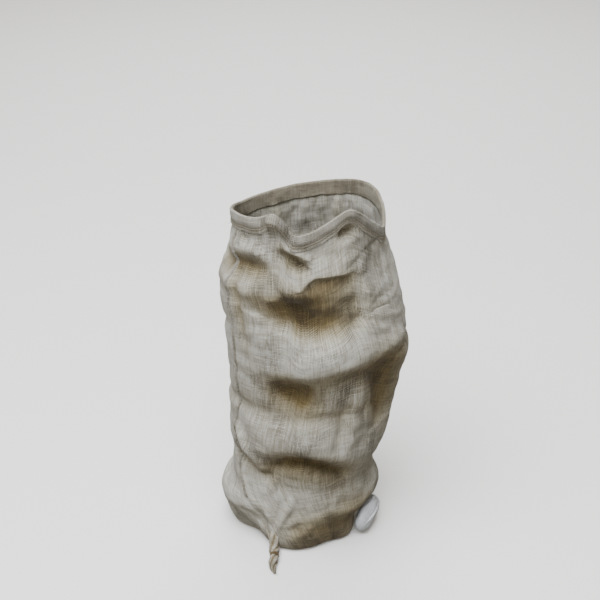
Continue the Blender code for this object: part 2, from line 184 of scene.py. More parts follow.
# Single folds: the places they run through (angle, height), how far they stand out, width over and under
FOLDS = (
    # Round the left grip, and the pucker below it
    (((176, 0.552), (200, 0.56), (224, 0.571), (241, 0.574)), -0.017, 0.013, 0.017),
    (((200, 0.596), (220, 0.6), (238, 0.604)), 0.007, 0.012, 0.012),
    (((213, 0.616), (222, 0.619)), -0.004, 0.003, 0.004),
    (((206, 0.598), (215, 0.601)), -0.003, 0.004, 0.004),
    (((249, 0.608), (258, 0.595), (268, 0.583)), -0.017, 0.007, 0.007),
    (((251, 0.621), (261, 0.609), (273, 0.596)), 0.008, 0.008, 0.005),
    (((258, 0.592), (265, 0.585), (272, 0.577)), -0.011, 0.005, 0.007),
    # Under the right grip, and the long crease from it
    (((295, 0.634), (301, 0.641), (308, 0.643)), -0.018, 0.007, 0.01),
    (
        ((352, 0.612), (330, 0.606), (313, 0.6), (305, 0.586), (295, 0.576), (286, 0.57)),
        -0.0018, 0.003, 0.006,
    ),
    (((330, 0.616), (311, 0.61), (302, 0.597), (292, 0.587)), 0.001, 0.01, 0.006),
    # The chest's sling, rays to the right shoulder, and a groove beside the left seam
    (((236, 0.494), (258, 0.48), (280, 0.47), (300, 0.476), (311, 0.49)), -0.024, 0.04, 0.014),
    (((278, 0.512), (286, 0.514), (296, 0.512)), 0.006, 0.014, 0.014),
    (((250, 0.53), (262, 0.5), (276, 0.474)), -0.008, 0.014, 0.014),
    (((311, 0.59), (314, 0.54), (315, 0.48)), 0.008, 0.013, 0.013),
    (((311, 0.502), (330, 0.528), (352, 0.545)), 0.0022, 0.006, 0.006),
    (((311, 0.494), (330, 0.502), (352, 0.508)), 0.0022, 0.006, 0.006),
    (((312, 0.484), (330, 0.474), (350, 0.462)), 0.0022, 0.006, 0.006),
    (((268, 0.546), (276, 0.56), (290, 0.562), (306, 0.566)), -0.016, 0.006, 0.022),
    (((312, 0.474), (328, 0.448), (346, 0.425)), 0.0022, 0.006, 0.006),
    (((211, 0.548), (212, 0.48), (214, 0.43)), -0.008, 0.009, 0.009),
    # Belly: a pit on the left, a hollow on the right, ridges and a groove between
    (((236, 0.352), (250, 0.344), (266, 0.334)), -0.024, 0.026, 0.028),
    (((316, 0.405), (328, 0.33), (334, 0.245)), -0.026, 0.036, 0.036),
    (((326, 0.425), (344, 0.435)), 0.007, 0.012, 0.01),
    (((305, 0.385), (302, 0.31), (299, 0.215)), 0.008, 0.014, 0.014),
    (((294, 0.305), (291, 0.262), (287, 0.222)), -0.006, 0.012, 0.013),
    (((332, 0.392), (350, 0.408), (366, 0.414)), -0.007, 0.008, 0.01),
    # Under the knee
    (((203, 0.245), (214, 0.212), (226, 0.182), (234, 0.16)), 0.009, 0.01, 0.008),
    (((198, 0.178), (212, 0.16), (226, 0.152)), -0.014, 0.009, 0.01),
    (((236, 0.17), (252, 0.186), (268, 0.19), (283, 0.18), (295, 0.166), (308, 0.15)), -0.022, 0.022, 0.014),
    (((232, 0.15), (243, 0.148)), -0.01, 0.009, 0.01),
    (((244, 0.15), (242, 0.118)), 0.005, 0.005, 0.005),
    (((249, 0.146), (248, 0.112)), -0.004, 0.005, 0.005),
    # Pleats and valleys that run to the left ear
    (((262, 0.112), (256, 0.07), (250, 0.028)), 0.008, 0.007, 0.007),
    (((240, 0.095), (244, 0.06), (247, 0.03)), 0.006, 0.006, 0.006),
    (((234, 0.075), (238, 0.048), (242, 0.024)), -0.005, 0.008, 0.009),
    (((252, 0.1), (251, 0.06), (250, 0.035)), -0.005, 0.005, 0.005),
    (((272, 0.06), (264, 0.044), (256, 0.024)), -0.005, 0.008, 0.008),
    (((282, 0.052), (270, 0.036), (260, 0.018)), 0.004, 0.008, 0.008),
    # Fullness near the floor and up the left
    (((212, 0.03), (228, 0.028), (240, 0.024)), 0.007, 0.018, 0.016),
    (((262, 0.024), (285, 0.026), (310, 0.03)), 0.006, 0.018, 0.016),
    (((160, 0.285), (180, 0.285), (205, 0.285)), 0.008, 0.034, 0.03),
    (((165, 0.14), (185, 0.138), (208, 0.138)), 0.005, 0.024, 0.024),
    (((165, 0.06), (190, 0.06), (218, 0.056)), 0.005, 0.026, 0.028),
    # Back
    (((40, 0.47), (80, 0.44), (125, 0.462)), -0.01, 0.018, 0.02),
    (((60, 0.33), (95, 0.29), (140, 0.285)), -0.012, 0.016, 0.018),
    (((75, 0.2), (82, 0.29), (78, 0.36)), 0.009, 0.014, 0.014),
    (((118, 0.6), (112, 0.53), (118, 0.47)), -0.008, 0.01, 0.01),
    (((62, 0.61), (66, 0.54), (58, 0.49)), -0.008, 0.009, 0.009),
    # Left and right sides, and the foot of the back
    (((160, 0.455), (182, 0.44), (204, 0.452)), -0.005, 0.014, 0.016),
    (((345, 0.52), (8, 0.505), (32, 0.515)), -0.006, 0.014, 0.016),
    (((350, 0.3), (12, 0.285), (36, 0.3)), -0.007, 0.014, 0.016),
    (((50, 0.15), (90, 0.14), (140, 0.15)), -0.01, 0.012, 0.014),
)

# Patches of painted shade, where the cloth is painted browner and its weave looser: as FOLDS, with how much
# painted shade in place of how far out
PAINTED_SHADE_PATCHES = (
    # Chest's sling and under the chest
    (((252, 0.5), (275, 0.512), (297, 0.53)), -0.42, 0.036, 0.04),
    (((250, 0.528), (268, 0.54), (284, 0.556), (304, 0.56)), -0.4, 0.01, 0.034),
    # Under the hip, and the valley right of it
    (((270, 0.376), (293, 0.388), (318, 0.388), (345, 0.4)), -0.5, 0.01, 0.034),
    (((320, 0.385), (334, 0.32), (340, 0.245)), -0.5, 0.048, 0.05),
    # Under the knee and under the belly
    (((232, 0.158), (252, 0.176), (280, 0.172), (300, 0.15), (312, 0.136)), -0.62, 0.018, 0.034),
    (((264, 0.026), (284, 0.04), (308, 0.048), (332, 0.062)), -0.95, 0.036, 0.044),
    # Left chest, under the left grip and in its pucker
    (((224, 0.522), (240, 0.508), (256, 0.5)), -0.34, 0.024, 0.024),
    (((222, 0.566), (240, 0.56), (256, 0.556)), -0.14, 0.016, 0.016),
    (((180, 0.556), (208, 0.568), (238, 0.578)), -0.42, 0.014, 0.016),
    (((250, 0.606), (264, 0.592)), -0.35, 0.008, 0.009),
    # The belly's pit, and beside the left seam
    (((230, 0.35), (246, 0.338), (262, 0.326), (276, 0.326)), -0.64, 0.034, 0.04),
    (((211, 0.54), (213, 0.47), (215, 0.4)), -0.4, 0.012, 0.012),
)

# The rim bunched in the left hand
GRIP_ANGLE = 247.5
GRIP_RADIUS = 0.137
GRIP_BULGE = 0.019
GRIP_CREASE = 0.0095
GRIP_HOLLOW = 0.008
GRIP_LEAN = 0.0030
GRIP_LIFT = 0.007

# Settling: every third point, its frames and the furthest that a point may move
SIM_STEP = 3
SIM_FRAMES = 22
SIM_MOST = 0.0075
SIM_SETTINGS = {
    "quality": 5,
    "mass": 0.20,
    "tension_stiffness": 30,
    "compression_stiffness": 30,
    "shear_stiffness": 12,
    "bending_stiffness": 6,
    "air_damping": 4,
    "shrink_min": -0.045,
    "vertex_group_mass": "held",
}

# Fine grid of the wall
COLUMNS = 336
HALF = COLUMNS // 2
WALL_ROWS = 252
BEND_ROWS = 10
WALL_END = WALL_ROWS + BEND_ROWS
BASE_ROWS = 12
BASE_ROW_LENGTH = 0.008
MEAN_RADIUS = 0.15
UP = np.array([0, 0, 1.0])


def eased(x):
    x = np.clip(x, 0.0, 1.0)
    return x * x * (3.0 - 2.0 * x)


def hump(x):
    return np.exp(-(x**2))


def unit(vectors):
    return vectors / np.maximum(np.linalg.norm(vectors, axis=-1, keepdims=True), 1e-12)


def heading(degrees):
    turn = np.radians(degrees)
    return np.stack([np.cos(turn), np.sin(turn), 0 * turn], axis=-1)


def off_angle(angle, middle):
    """How far this angle is from the middle one, from -180 to 180 degrees."""
    return np.mod(angle - middle + 180, 360) - 180


def smoothed(values, times):
    """Each value drawn towards those beside it, along the rows and then down the columns."""
    for _ in range(times):
        values = (np.roll(values, 1, axis=1) + np.roll(values, -1, axis=1) + 2 * values) / 4
        values[1:-1] = (values[2:] + values[:-2] + 2 * values[1:-1]) / 4
    return values


def spread(values, times):
    """Each value as the mean of its four neighbours."""
    values = values.copy()
    for _ in range(times):
        beside = np.roll(values, 1, axis=1)[1:-1] + np.roll(values, -1, axis=1)[1:-1]
        values[1:-1] = (values[2:] + values[:-2] + beside) / 4
    return values


def centred_through(places, values, at):
    """As part.py reads its rows: each point's slope is that of the line between its neighbours."""
    slopes = np.empty_like(values)
    slopes[1:-1] = (values[2:] - values[:-2]) / (places[2:] - places[:-2])[:, None]
    slopes[0] = (values[1] - values[0]) / (places[1] - places[0])
    slopes[-1] = (values[-1] - values[-2]) / (places[-1] - places[-2])
    i = np.clip(np.searchsorted(places, at, side="right") - 1, 0, len(places) - 2)
    span = (places[i + 1] - places[i])[:, None]
    f = (at - places[i])[:, None] / span
    return (
        values[i] * (2 * f**3 - 3 * f**2 + 1)
        + slopes[i] * span * (f**3 - 2 * f**2 + f)
        + values[i + 1] * (3 * f**2 - 2 * f**3)
        + slopes[i + 1] * span * (f**3 - f**2)
    )


class Column:
    """Rows that go up the sack, read at any height."""

    def __init__(self, rows):
        rows = np.array(rows, float)
        self.places = np.linspace(rows[0, 0], rows[-1, 0], 1401)
        self.values = centred_through(rows[:, 0], rows[:, 1:], self.places)

    def at(self, place, column):
        return np.interp(place, self.places, self.values[:, column])


class Ring(Column):
    """Rows that go round the sack, read at any angle in degrees."""

    def __init__(self, rows):
        rows = np.array(rows, float)
        turns = np.concatenate([rows[:, 0] + turn for turn in (-360, 0, 360)])
        self.places = np.arange(0, 361.0)
        self.values = centred_through(turns, np.concatenate([rows[:, 1:]] * 3), self.places)

    def at(self, place, column):
        return super().at(np.mod(place, 360), column)


rim, base, body = Ring(RIM), Ring(BASE), Column(BODY)
rolls = [Ring(rows) for rows in ROLLS]


def fold_out(angle, height, folds=FOLDS, hollows_only=False):
    """How far the single folds push the cloth out here. Given the patches of painted shade, it gives their
    painted shade as a negative amount.
    """
    out = np.zeros_like(angle)
    around = 2 * math.pi * MEAN_RADIUS
    for route, proud, over, under in folds:
        if hollows_only and proud > 0:
            continue
        points = np.array(route, float)
        points[:, 0] = np.radians(points[:, 0]) * MEAN_RADIUS
        middle = points[:, 0].mean()
        x = middle + np.mod(np.radians(angle) * MEAN_RADIUS - middle + around / 2, around) - around / 2
        nearest = np.full_like(angle, np.inf)
        side, share = np.zeros_like(angle), np.zeros_like(angle)
        spans = np.hypot(*np.diff(points, axis=0).T)
        passed = np.concatenate([[0], np.cumsum(spans)]) / spans.sum()
        for i, ((ax, ay), (bx, by)) in enumerate(zip(points, points[1:])):
            dx, dy = bx - ax, by - ay
            f = np.clip(((x - ax) * dx + (height - ay) * dy) / (dx * dx + dy * dy), 0, 1)
            away = np.hypot(x - ax - f * dx, height - ay - f * dy)
            closer = away < nearest
            side = np.where(closer, height - ay - f * dy, side)
            share = np.where(closer, passed[i] + f * (passed[i + 1] - passed[i]), share)
            nearest = np.where(closer, away, nearest)
        taper = 0.25 + 0.75 * np.sqrt(np.clip(np.sin(np.pi * share), 0, 1))
        out += proud * taper * hump(nearest / np.where(side > 0, over, under))
    return out


def wall_points(angle, height):
    half_width, half_depth = body.at(height, 0), body.at(height, 1)
    turn = np.radians(angle)
    radius = half_width * half_depth / np.hypot(half_depth * np.cos(turn), half_width * np.sin(turn))
    for roll in rolls:
        above = height - roll.at(angle, 0)
        radius = radius + roll.at(angle, 1) * hump(above / np.where(above > 0, ROLL_ABOVE, ROLL_BELOW))
    top = rim.at(angle, 1)
    to_mouth = eased((height - top + MOUTH_BLEND) / MOUTH_BLEND)
    radius = radius + (rim.at(angle, 0) - radius) * to_mouth
    radius = radius + fold_out(angle, height) * eased((top - height) / 0.03) * eased(height / 0.02)
    radius = radius + (base.at(angle, 0) + BASE_TUCK - radius) * eased(1 - height / BASE_BLEND)
    aside = off_angle(angle, POCKET["angle"]) / POCKET["half_angle"]
    up = (height - POCKET["height"]) / POCKET["half_height"]
    bend = np.minimum(height / BASE_BEND, 1.0)
    radius = radius - POCKET["depth"] * hump(aside) * hump(up)
    radius = radius - BASE_TUCK * (1 - np.sqrt(1 - (1 - bend) ** 2))
    centre_x, centre_y = (
        body.at(height, 2 + k) + (MOUTH_CENTRE[k] - body.at(height, 2 + k)) * to_mouth for k in range(2)
    )
    return np.stack([centre_x + radius * np.cos(turn), centre_y + radius * np.sin(turn), height], axis=-1)


def sewn_angle(cloth_angle, height):
    """The angle at which this warp yarn stands: the seams wander round the sack near the floor."""
    share = (1 - np.cos(np.radians(cloth_angle))) / 2
    wander = RIGHT_SEAM_WANDER + (LEFT_SEAM_WANDER - RIGHT_SEAM_WANDER) * share
    return cloth_angle + SEAM_START + wander * eased(1 - height / WANDER_FROM)


def cloth_grid():
    """Points of the whole sack: rows from the rim down and under to the bottom seam, columns of warp."""
    bend = BASE_BEND / np.mean([row[2] for row in RIM])
    steps = np.arange(1, BEND_ROWS + 1) / BEND_ROWS
    wall = np.linspace(0, 1 - bend, WALL_ROWS + 1)
    drops = np.concatenate([wall, 1 - bend * (1 - np.sin(np.pi / 2 * steps))])
    cloth_angle = np.arange(COLUMNS) * 360 / COLUMNS
    drop, cloth = np.meshgrid(drops, cloth_angle, indexing="ij")
    angle = sewn_angle(cloth, (1 - drop) * RIM[0][2])
    for _ in range(3):
        angle = sewn_angle(cloth, (1 - drop) * rim.at(angle, 1))
    points = wall_points(angle, (1 - drop) * rim.at(angle, 1))
    edge = points[-1]
    left, right = (p * (1 - BOTTOM_SEAM_INSET / np.linalg.norm(p)) for p in (edge[HALF], edge[0]))
    seam = left + (right - left) * (np.abs(cloth_angle - 180)[:, None] / 180)
    under = [edge + (seam - edge) * row / BASE_ROWS for row in range(1, BASE_ROWS + 1)]
    return np.concatenate([points, np.array(under)])


def crumple(points, normals, rows):
    """Small wrinkles, as limp coarse cloth has between its large folds."""
    out = np.zeros(points.shape[:2])
    for r in range(rows):
        for c in range(points.shape[1]):
            x, y, z = Vector(points[r, c])
            wide = noise.noise(Vector((x * 26 + 3, y * 26, z * 44)))
            fine = noise.noise(Vector((x * 60, y * 60 + 7, z * 90)))
            out[r, c] = 0.0022 * wide + 0.0008 * fine
    return points + normals * out[..., None]


def grid_normals(grid):
    """Outward normals of the closed grid of rings."""
    across = np.roll(grid, -1, axis=1) - np.roll(grid, 1, axis=1)
    return unit(np.cross(np.gradient(grid, axis=0), across))


# --- Pieces ---


def in_scene(name, data):
    made = bpy.data.objects.new(name, data)
    bpy.context.scene.collection.objects.link(made)
    return made


def new_piece(name, mesh, material):
    mesh.shade_smooth()
    mesh.materials.append(material)
    return in_scene(name, mesh)


def flat_place(across, down, painted_shade):
    """Each point's place on the flat cloth, in metres, and how much painted shade it gets, mostly from how
    deep in a fold it lies.
    """
    return np.stack(np.broadcast_arrays(across, down, painted_shade), axis=-1).astype(float)


def sheet_piece(name, points, cloth, material):
    """An open sheet through a grid of points, which keeps each point's flat_place."""
    points, cloth = np.array(points), np.array(cloth)
    rows, columns = points.shape[:2]
    index = np.arange(rows * columns).reshape(rows, columns)
    quads = np.stack([index[:-1, :-1], index[1:, :-1], index[1:, 1:], index[:-1, 1:]], axis=-1).reshape(-1, 4)
    mesh = bpy.data.meshes.new(name)
    mesh.from_pydata(points.reshape(-1, 3).tolist(), [], quads.tolist())
    place = mesh.attributes.new("cloth", "FLOAT_VECTOR", "POINT")
    place.data.foreach_set("vector", cloth.astype(np.float32).ravel())
    return new_piece(name, mesh, material)


def parts_piece(name, parts, material):
    """One piece of many separate stitches or fibres."""
    vertices, faces, start = [], [], 0
    for part_vertices, part_faces in parts:
        vertices.append(part_vertices)
        faces += [tuple(v + start for v in face) for face in part_faces]
        start += len(part_vertices)
    mesh = bpy.data.meshes.new(name)
    mesh.from_pydata(np.concatenate(vertices).tolist(), [], faces)
    return new_piece(name, mesh, material)


def tube(points, normals_at, radius, flat=1.0, sides=6, ends=True):
    """Vertices and faces of one rounded stitch or fibre along points."""
    along = unit(np.gradient(points, axis=0))
    side = unit(np.cross(along, normals_at))
    up = np.cross(side, along)
    count = len(points)
    taper = np.sqrt(np.clip(1 - np.linspace(-1, 1, count) ** 4, 0.02, 1)) if ends else np.ones(count)
    turn = (np.arange(sides) * 2 * math.pi / sides)[:, None]
    ring = (side[:, None] * np.cos(turn) + up[:, None] * np.sin(turn) * flat) * radius * taper[:, None, None]
    vertices = (points[:, None] + ring).reshape(-1, 3)
    faces = []
    for start in range(0, (count - 1) * sides, sides):
        for i in range(sides):
            j = (i + 1) % sides
            faces.append((start + i, start + j, start + sides + j, start + sides + i))
    faces.append(tuple(range(sides))[::-1])
    faces.append(tuple((count - 1) * sides + i for i in range(sides)))
    return vertices, faces


def apply_modifiers(piece):
    mesh = bpy.data.meshes.new_from_object(piece.evaluated_get(bpy.context.evaluated_depsgraph_get()))
    piece.modifiers.clear()
    piece.data = mesh


def thicken(piece, thickness, offset):
    solid = piece.modifiers.new("cloth", "SOLIDIFY")
    solid.thickness = thickness
    solid.offset = offset
    apply_modifiers(piece)


def closed_piece(name, points, cloth, material):
    """A sheet whose first and last rows meet, with its open ends capped, kept above the floor."""
    points[..., 2] = np.maximum(points[..., 2], 0.0002)
    piece = sheet_piece(name, points, cloth, material)
    weld = piece.modifiers.new("close", "WELD")
    weld.merge_threshold = 0.00001
    apply_modifiers(piece)
    shape = bmesh.new()
    shape.from_mesh(piece.data)
    bmesh.ops.holes_fill(shape, edges=[edge for edge in shape.edges if edge.is_boundary])
    bmesh.ops.recalc_face_normals(shape, faces=shape.faces)
    shape.to_mesh(piece.data)
    shape.free()
    return piece


def stretch_with_wall(piece):
    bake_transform(piece)


def stand_for(piece, node, body=None):
    """Puts the piece in a node's place, hiding the node's part: on this body, or left in world space with its
    transform baked.
    """
    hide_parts(node)
    if body:
        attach(piece, body)
    else:
        stretch_with_wall(piece)


# --- Materials ---


class Nodes:
    """Short names for building one node tree."""

    def __init__(self, name):
        self.material = bpy.data.materials.new(name)
        self.material.use_nodes = True
        self.tree = self.material.node_tree
        self.inputs = self.tree.nodes["Principled BSDF"].inputs

    def add(self, kind, **settings):
        node = self.tree.nodes.new(kind)
        for key, value in settings.items():
            setattr(node, key, value)
        return node

    def link(self, source, target):
        if isinstance(source, (int, float)):
            target.default_value = source
        else:
            self.tree.links.new(source, target)

    def math(self, operation, *values, clamp=False):
        node = self.add("ShaderNodeMath", operation=operation, use_clamp=clamp)
        for socket, value in zip(node.inputs, values):
            self.link(value, socket)
        return node.outputs[0]

    def plus(self, a, b):
        return self.math("ADD", a, b)

    def times(self, a, b):
        return self.math("MULTIPLY", a, b)

    def total(self, start, *terms):
        """start, plus each factor times its weight."""
        for factor, weight in terms:
            start = self.math("MULTIPLY_ADD", factor, weight, start)
        return start

    def noise(self, vector, scale, detail=2.0, rough=0.5, dimensions="2D"):
        """Noise from 0 to 1. A scale of three numbers stretches it."""
        if isinstance(scale, tuple):
            stretched = self.add("ShaderNodeVectorMath", operation="MULTIPLY")
            self.link(vector, stretched.inputs[0])
            stretched.inputs[1].default_value = scale
            vector, scale = stretched.outputs[0], 1.0
        node = self.add("ShaderNodeTexNoise", noise_dimensions=dimensions)
        self.link(vector, node.inputs["Vector"])
        node.inputs["Scale"].default_value = scale
        node.inputs["Detail"].default_value = detail
        node.inputs["Roughness"].default_value = rough
        return node.outputs["Fac"]

    def ramp(self, factor, stops):
        node = self.add("ShaderNodeValToRGB")
        elements = node.color_ramp.elements
        while len(elements) < len(stops):
            elements.new(0.5)
        for element, (place, colour) in zip(elements, stops):
            element.position = place
            element.color = (*colour, 1)
        self.link(factor, node.inputs["Fac"])
        return node.outputs["Color"]

    def mix(self, factor, a, b, blend="MIX"):
        node = self.add("ShaderNodeMix", data_type="RGBA", blend_type=blend)
        self.link(factor, node.inputs["Factor"])
        self.link(a, node.inputs["A"])
        if isinstance(b, tuple):
            node.inputs["B"].default_value = (*b, 1)
        else:
            self.link(b, node.inputs["B"])
        return node.outputs["Result"]

    def finish(self, colour, roughness, specular, relief, strength, distance):
        """Sends the colour, gloss and relief to the shader."""
        self.link(colour, self.inputs["Base Color"])
        self.link(roughness, self.inputs["Roughness"])
        self.inputs["Specular IOR Level"].default_value = specular
        bump = self.add("ShaderNodeBump")
        bump.inputs["Strength"].default_value = strength
        bump.inputs["Distance"].default_value = distance
        self.link(relief, bump.inputs["Height"])
        self.link(bump.outputs["Normal"], self.inputs["Normal"])
        return self.material


def burlap(name, light=(0.51, 0.503, 0.454), dark=(0.24, 0.215, 0.158), pitch=YARN_PITCH):
    """Open plain weave: warp and weft yarns over and under each other, slubs, pinholes and stray tints, with
    painted shade in the folds and in the pinholes.
    """
    n = Nodes(name)
    cloth = n.add("ShaderNodeAttribute", attribute_name="cloth").outputs["Vector"]
    split = n.add("ShaderNodeSeparateXYZ")
    n.link(cloth, split.inputs[0])
    # The cloth attribute: place across, place down, and how much painted shade
    x, y, painted_shade = split.outputs
    across = n.math("DIVIDE", n.plus(x, n.total(-0.0015, (n.noise(cloth, 55.0), 0.0030))), pitch)
    down = n.math("DIVIDE", n.plus(y, n.total(-0.0015, (n.noise(cloth, 83.0), 0.0030))), pitch)
    patches = n.math("SUBTRACT", n.noise(cloth, 14.0), 0.46, clamp=True)
    # The weave opens at random patches, and also where there is painted shade, so shaded cloth shows more
    # dark pinholes
    loose_and_shaded = n.total(0.0, (patches, 1.6), (painted_shade, 0.36))

    def yarn(cross, along, phase):
        """Height of one set of yarns: round across, and rising over every other yarn along."""
        number = n.math("FLOOR", cross)
        inside = n.total(-1.0, (n.math("FRACT", cross), 2.0))
        own = n.add("ShaderNodeCombineXYZ")
        n.link(n.times(number, 7.31), own.inputs["X"])
        n.link(n.times(along, 0.045), own.inputs["Y"])
        slub = n.noise(own.outputs[0], 1.0, 2.0, 0.6)
        width = n.math("SUBTRACT", n.total(0.36, (slub, 0.95)), loose_and_shaded)
        off = n.math("DIVIDE", n.math("ABSOLUTE", inside), width)
        arch = n.math("MAXIMUM", n.math("SUBTRACT", 1.0, n.math("POWER", off, 2.0)), 0.0)
        turn = n.times(n.plus(n.plus(along, number), phase), math.pi)
        over = n.total(0.72, (n.math("COSINE", turn), 0.28))
        return n.times(n.math("SQRT", arch), over), slub

    warp, warp_slub = yarn(across, down, 0.5)
    weft, weft_slub = yarn(down, across, 1.5)
    height = n.math("MAXIMUM", warp, weft)
    closed = n.math("SMOOTH_MIN", n.times(height, 2.6), 1.0, 0.3)
    hole = n.math("SUBTRACT", 1.0, closed, clamp=True)
    fibre = n.noise(cloth, (900.0, 240.0, 1.0), 3.0, 0.7)
    tone = n.total(
        -0.37,
        (n.noise(cloth, (360.0, 24.0, 1.0), 2.0, 0.6), 0.42),
        (n.noise(cloth, (24.0, 360.0, 1.0), 2.0, 0.6), 0.26),
        (n.noise(cloth, 6.0, 3.0), 0.32),
        (fibre, 0.22),
        (warp_slub, 0.30),
        (weft_slub, 0.22),
    )
    middle = tuple((a + b) / 2 for a, b in zip(light, dark))
    colour = n.ramp(tone, ((0.22, dark), (0.44, middle), (0.60, light)))
    fleck = n.math("GREATER_THAN", n.noise(cloth, (420.0, 60.0, 1.0)), 0.70)
    colour = n.mix(n.times(fleck, 0.5), colour, (0.16, 0.11, 0.055))
    # Painted shade: the cloth is multiplied greyer and then browner as the painted shade deepens, in folds,
    # under overhangs and on downward-facing cloth
    painted_shade_tint = n.ramp(painted_shade, ((0.0, (1, 1, 1)), (0.45, (0.70, 0.64, 0.51)), (1.0, (0.43, 0.33, 0.155))))
    colour = n.mix(1.0, colour, painted_shade_tint, "MULTIPLY")
    # Pinholes are painted near black: painted shade of the sack's inside, seen through the weave
    colour = n.mix(n.times(hole, 0.82), colour, (0.045, 0.032, 0.016))
    n.inputs["Sheen Weight"].default_value = 0.10
    n.inputs["Sheen Roughness"].default_value = 0.6
    relief = n.total(height, (fibre, 0.25))
    return n.finish(colour, n.total(0.84, (fibre, 0.12)), 0.22, relief, 0.85, 0.0009)


def twine(name, colour):
    """Loosely laid jute thread: fibres in two tones."""
    n = Nodes(name)
    place = n.add("ShaderNodeTexCoord").outputs["Object"]
    fibre = n.noise(place, 1500.0, 3.0, 0.7, "3D")
    dark = tuple(c * 0.55 for c in colour)
    return n.finish(n.ramp(fibre, ((0.32, dark), (0.62, colour))), 0.85, 0.2, fibre, 0.6, 0.0004)


cloth_material = burlap("burlap")
hem_material = burlap("doubled_burlap", light=(0.315, 0.305, 0.27), dark=(0.20, 0.18, 0.14))
ear_material = burlap("gathered_burlap", light=(0.42, 0.40, 0.345), dark=(0.22, 0.19, 0.135), pitch=0.0017)
# The stuffed right corner: a pale bluish colour, partly the corner's own paleness and partly painted light,
# made brighter against the shade it sits in
pale_and_lit_material = burlap("pale_painted_lit_burlap", light=(0.78, 0.81, 0.86), dark=(0.62, 0.65, 0.70), pitch=0.0012)
thread_material = twine("sewing_thread", (0.30, 0.26, 0.18))
seam_thread_material = twine("seam_thread", (0.50, 0.47, 0.39))
dark_thread_material = twine("binding_thread", (0.17, 0.125, 0.07))
fibre_material = twine("loose_fibre", (0.55, 0.50, 0.38))


# --- The cloth ---


def curl_grip(grid):
    """The rim bunched up and curled outward where the left hand pulls it."""
    angle = np.degrees(np.arctan2(grid[0, :, 1] - MOUTH_CENTRE[1], grid[0, :, 0] - MOUTH_CENTRE[0]))
    aside = np.radians(off_angle(angle, GRIP_ANGLE)) * GRIP_RADIUS
    depth = grid[:1, :, 2] - grid[:, :, 2]
    lobe = hump(aside / 0.0125)
    top = eased(1 - depth / 0.034)
    bulge = GRIP_BULGE * lobe * hump((depth - 0.010) / 0.011)
    crease = GRIP_CREASE * hump((aside - 0.0185) / 0.0055) * hump((depth - 0.006) / 0.015)
    hollow = GRIP_HOLLOW * hump((aside + 0.0205) / 0.006) * hump((depth - 0.006) / 0.018)
    out = grid + heading(angle) * (bulge - crease - hollow)[..., None]
    out += heading(angle - 90) * (GRIP_LEAN * lobe * top**2)[..., None]
    out[..., 2] += GRIP_LIFT * lobe * top
    return out


def settle(grid):
    """Lets the slack cloth buckle by itself: a short cloth simulation, held at the rim and at the floor."""
    rows = np.append(np.arange(0, WALL_END, SIM_STEP), WALL_END)
    columns = np.arange(0, COLUMNS, SIM_STEP)
    coarse = grid[rows][:, columns]
    count, across = coarse.shape[:2]
    index = np.arange(count * across).reshape(count, across)
    after = np.roll(index, -1, axis=1)
    quads = np.stack([index[:-1], index[1:], after[1:], after[:-1]], axis=-1).reshape(-1, 4)
    mesh = bpy.data.meshes.new("settling")
    mesh.from_pydata(coarse.reshape(-1, 3).tolist(), [], quads.tolist())
    cloth = in_scene("settling", mesh)
    held = cloth.vertex_groups.new(name="held")
    depth = coarse[:1, :, 2] - coarse[..., 2]
    hold = np.maximum(eased((0.055 - depth) / 0.03), eased((0.090 - coarse[..., 2]) / 0.07))
    for i, weight in enumerate(np.maximum(hold, 0.02).ravel()):
        held.add([i], float(weight), "REPLACE")
    sim = cloth.modifiers.new("settling", "CLOTH")
    for setting, value in SIM_SETTINGS.items():
        setattr(sim.settings, setting, value)
    sim.settings.effector_weights.gravity = 0.25
    sim.collision_settings.use_collision = False
    sim.collision_settings.use_self_collision = False
    sim.point_cache.frame_start = 1
    sim.point_cache.frame_end = SIM_FRAMES
    for frame_number in range(1, SIM_FRAMES + 1):
        bpy.context.scene.frame_set(frame_number)
    settled = cloth.evaluated_get(bpy.context.evaluated_depsgraph_get()).to_mesh()
    places = np.empty(count * across * 3, np.float32)
    settled.vertices.foreach_get("co", places)
    moved = places.reshape(count, across, 3) - coarse
    bpy.context.scene.frame_set(1)
    bpy.data.objects.remove(cloth)
    length = np.linalg.norm(moved, axis=-1, keepdims=True)
    moved = moved * np.tanh(length / SIM_MOST) * SIM_MOST / np.maximum(length, 1e-9)
    moved = np.concatenate([moved, moved[:, :1]], axis=1)
    round_again = np.append(columns, COLUMNS)
    fine = np.empty((WALL_END + 1, COLUMNS, 3))
    for k in range(3):
        by_row = np.stack([np.interp(np.arange(COLUMNS), round_again, row) for row in moved[..., k]])
        fine[..., k] = np.stack([np.interp(np.arange(WALL_END + 1), rows, column) for column in by_row.T]).T
    fine = smoothed(fine, 3)
    outward = grid_normals(grid)[: WALL_END + 1]
    swelling = smoothed((fine * outward).sum(-1), 200)
    out = grid.copy()
    out[: WALL_END + 1] += fine - outward * swelling[..., None]
    return out


def painted_shade_in_folds(grid, normals):
    """How much painted shade the cloth gets: 1 deep in a fold and 0 on its crown, from the hollows, the cloth
    around each point, its slope and the patches of painted shade.
    """
    inside = np.clip(((spread(grid, 200) - grid) * normals).sum(-1) / 0.008, 0, 1)
    # Cloth that faces down, away from the overhead lights, gets painted shade
    down = np.clip(-normals[..., 2], 0, 1)
    height = grid[..., 2]
    angle = np.degrees(np.arctan2(grid[..., 1] - body.at(height, 3), grid[..., 0] - body.at(height, 2)))
    hollow = np.clip(-fold_out(angle, height, hollows_only=True) / 0.024, 0, 1) * eased(height / 0.03)
    depth = 0.60 * hollow + 0.30 * inside + 0.40 * down - fold_out(angle, height, PAINTED_SHADE_PATCHES)
    return np.clip(spread(depth, 12), 0, 1)


